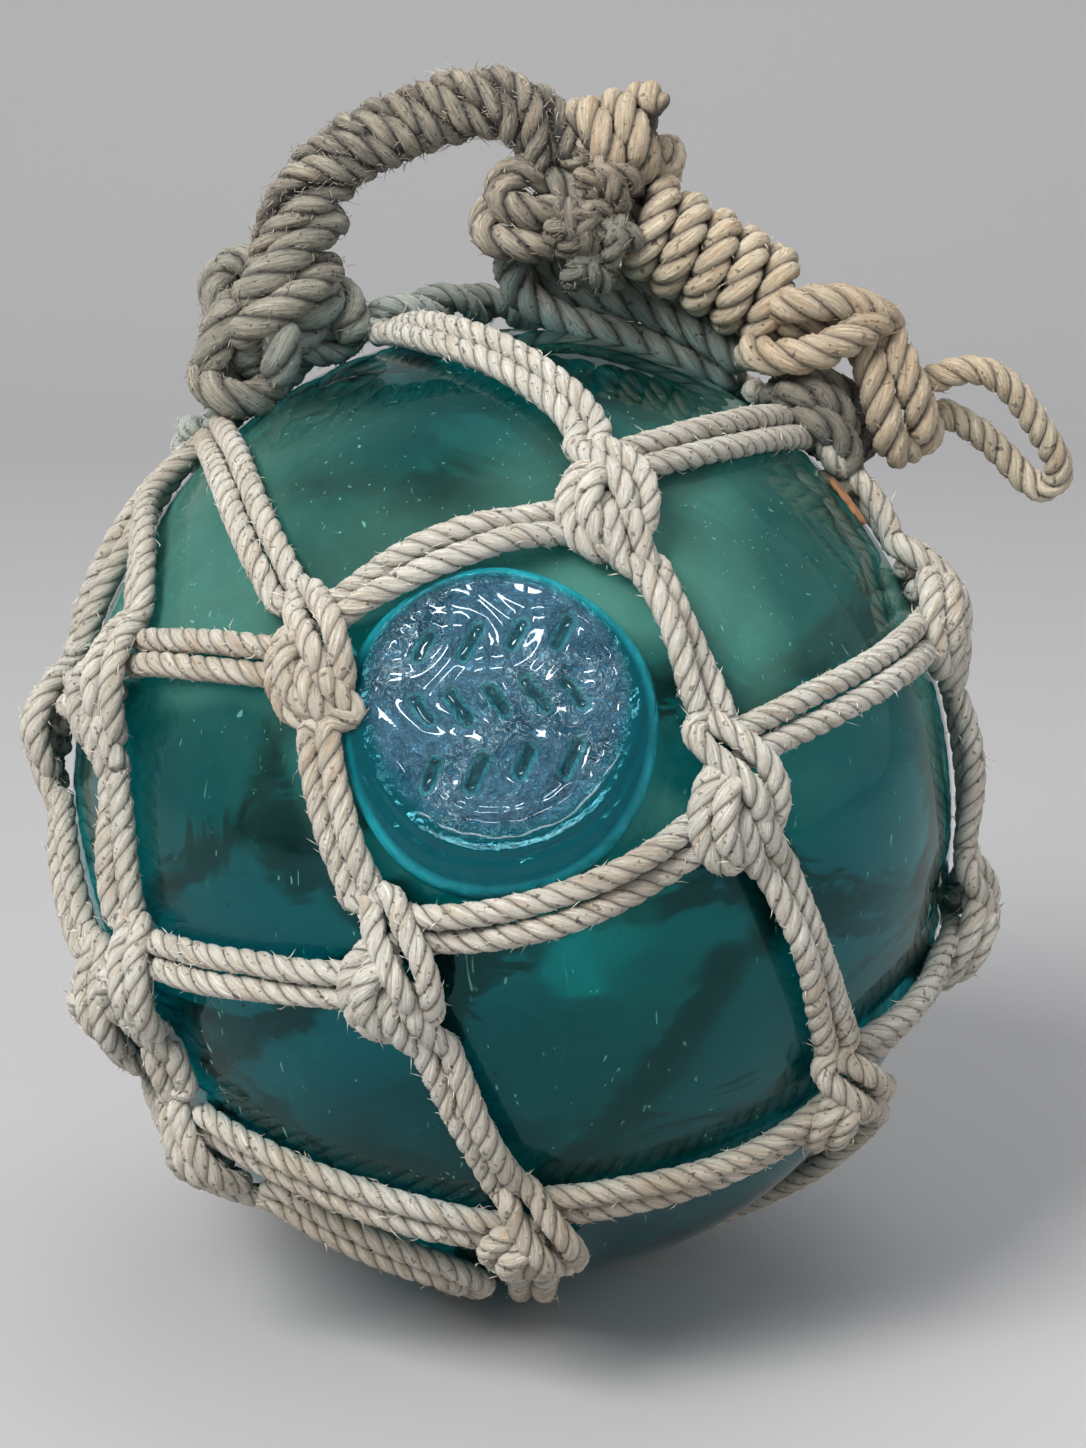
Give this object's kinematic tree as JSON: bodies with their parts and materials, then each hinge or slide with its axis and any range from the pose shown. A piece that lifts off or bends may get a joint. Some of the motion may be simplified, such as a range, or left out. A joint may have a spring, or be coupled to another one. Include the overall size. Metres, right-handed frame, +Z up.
{
  "type": "netted glass float ball",
  "caption": "Blown glass fishing float in a knotted rope net, with a served rope handle, a coiled lanyard and a pressed glass seal.",
  "frame": {"origin": "on the surface it stands on, under the middle of the box round the ball, net, handle and lanyard, its free loop left out", "axes": "+Z up, along the float's height to the handle; the seal faces -Y and the lanyard hangs towards +X"},
  "size_m": [0.1689, 0.1548, 0.1982],
  "materials": {
    "float_glass": "clear sea green, dusty and seeded",
    "seal_glass": "clear blue, pressed and rippled",
    "net_rope": "weathered laid rope",
    "ring_rope": "weathered laid rope, pressed flat",
    "handle_rope": "old dark laid rope",
    "lanyard_rope": "pale laid rope",
    "loop_rope": "pale laid rope"
  },
  "bodies": {
    "root": {"glass_ball": "float_glass", "seal_button": "seal_glass", "rope_net": "net_rope", "start_ring": "ring_rope", "handle_rope": "handle_rope", "lanyard": "lanyard_rope", "lanyard_loop": "loop_rope"}
  },
  "joints": []
}
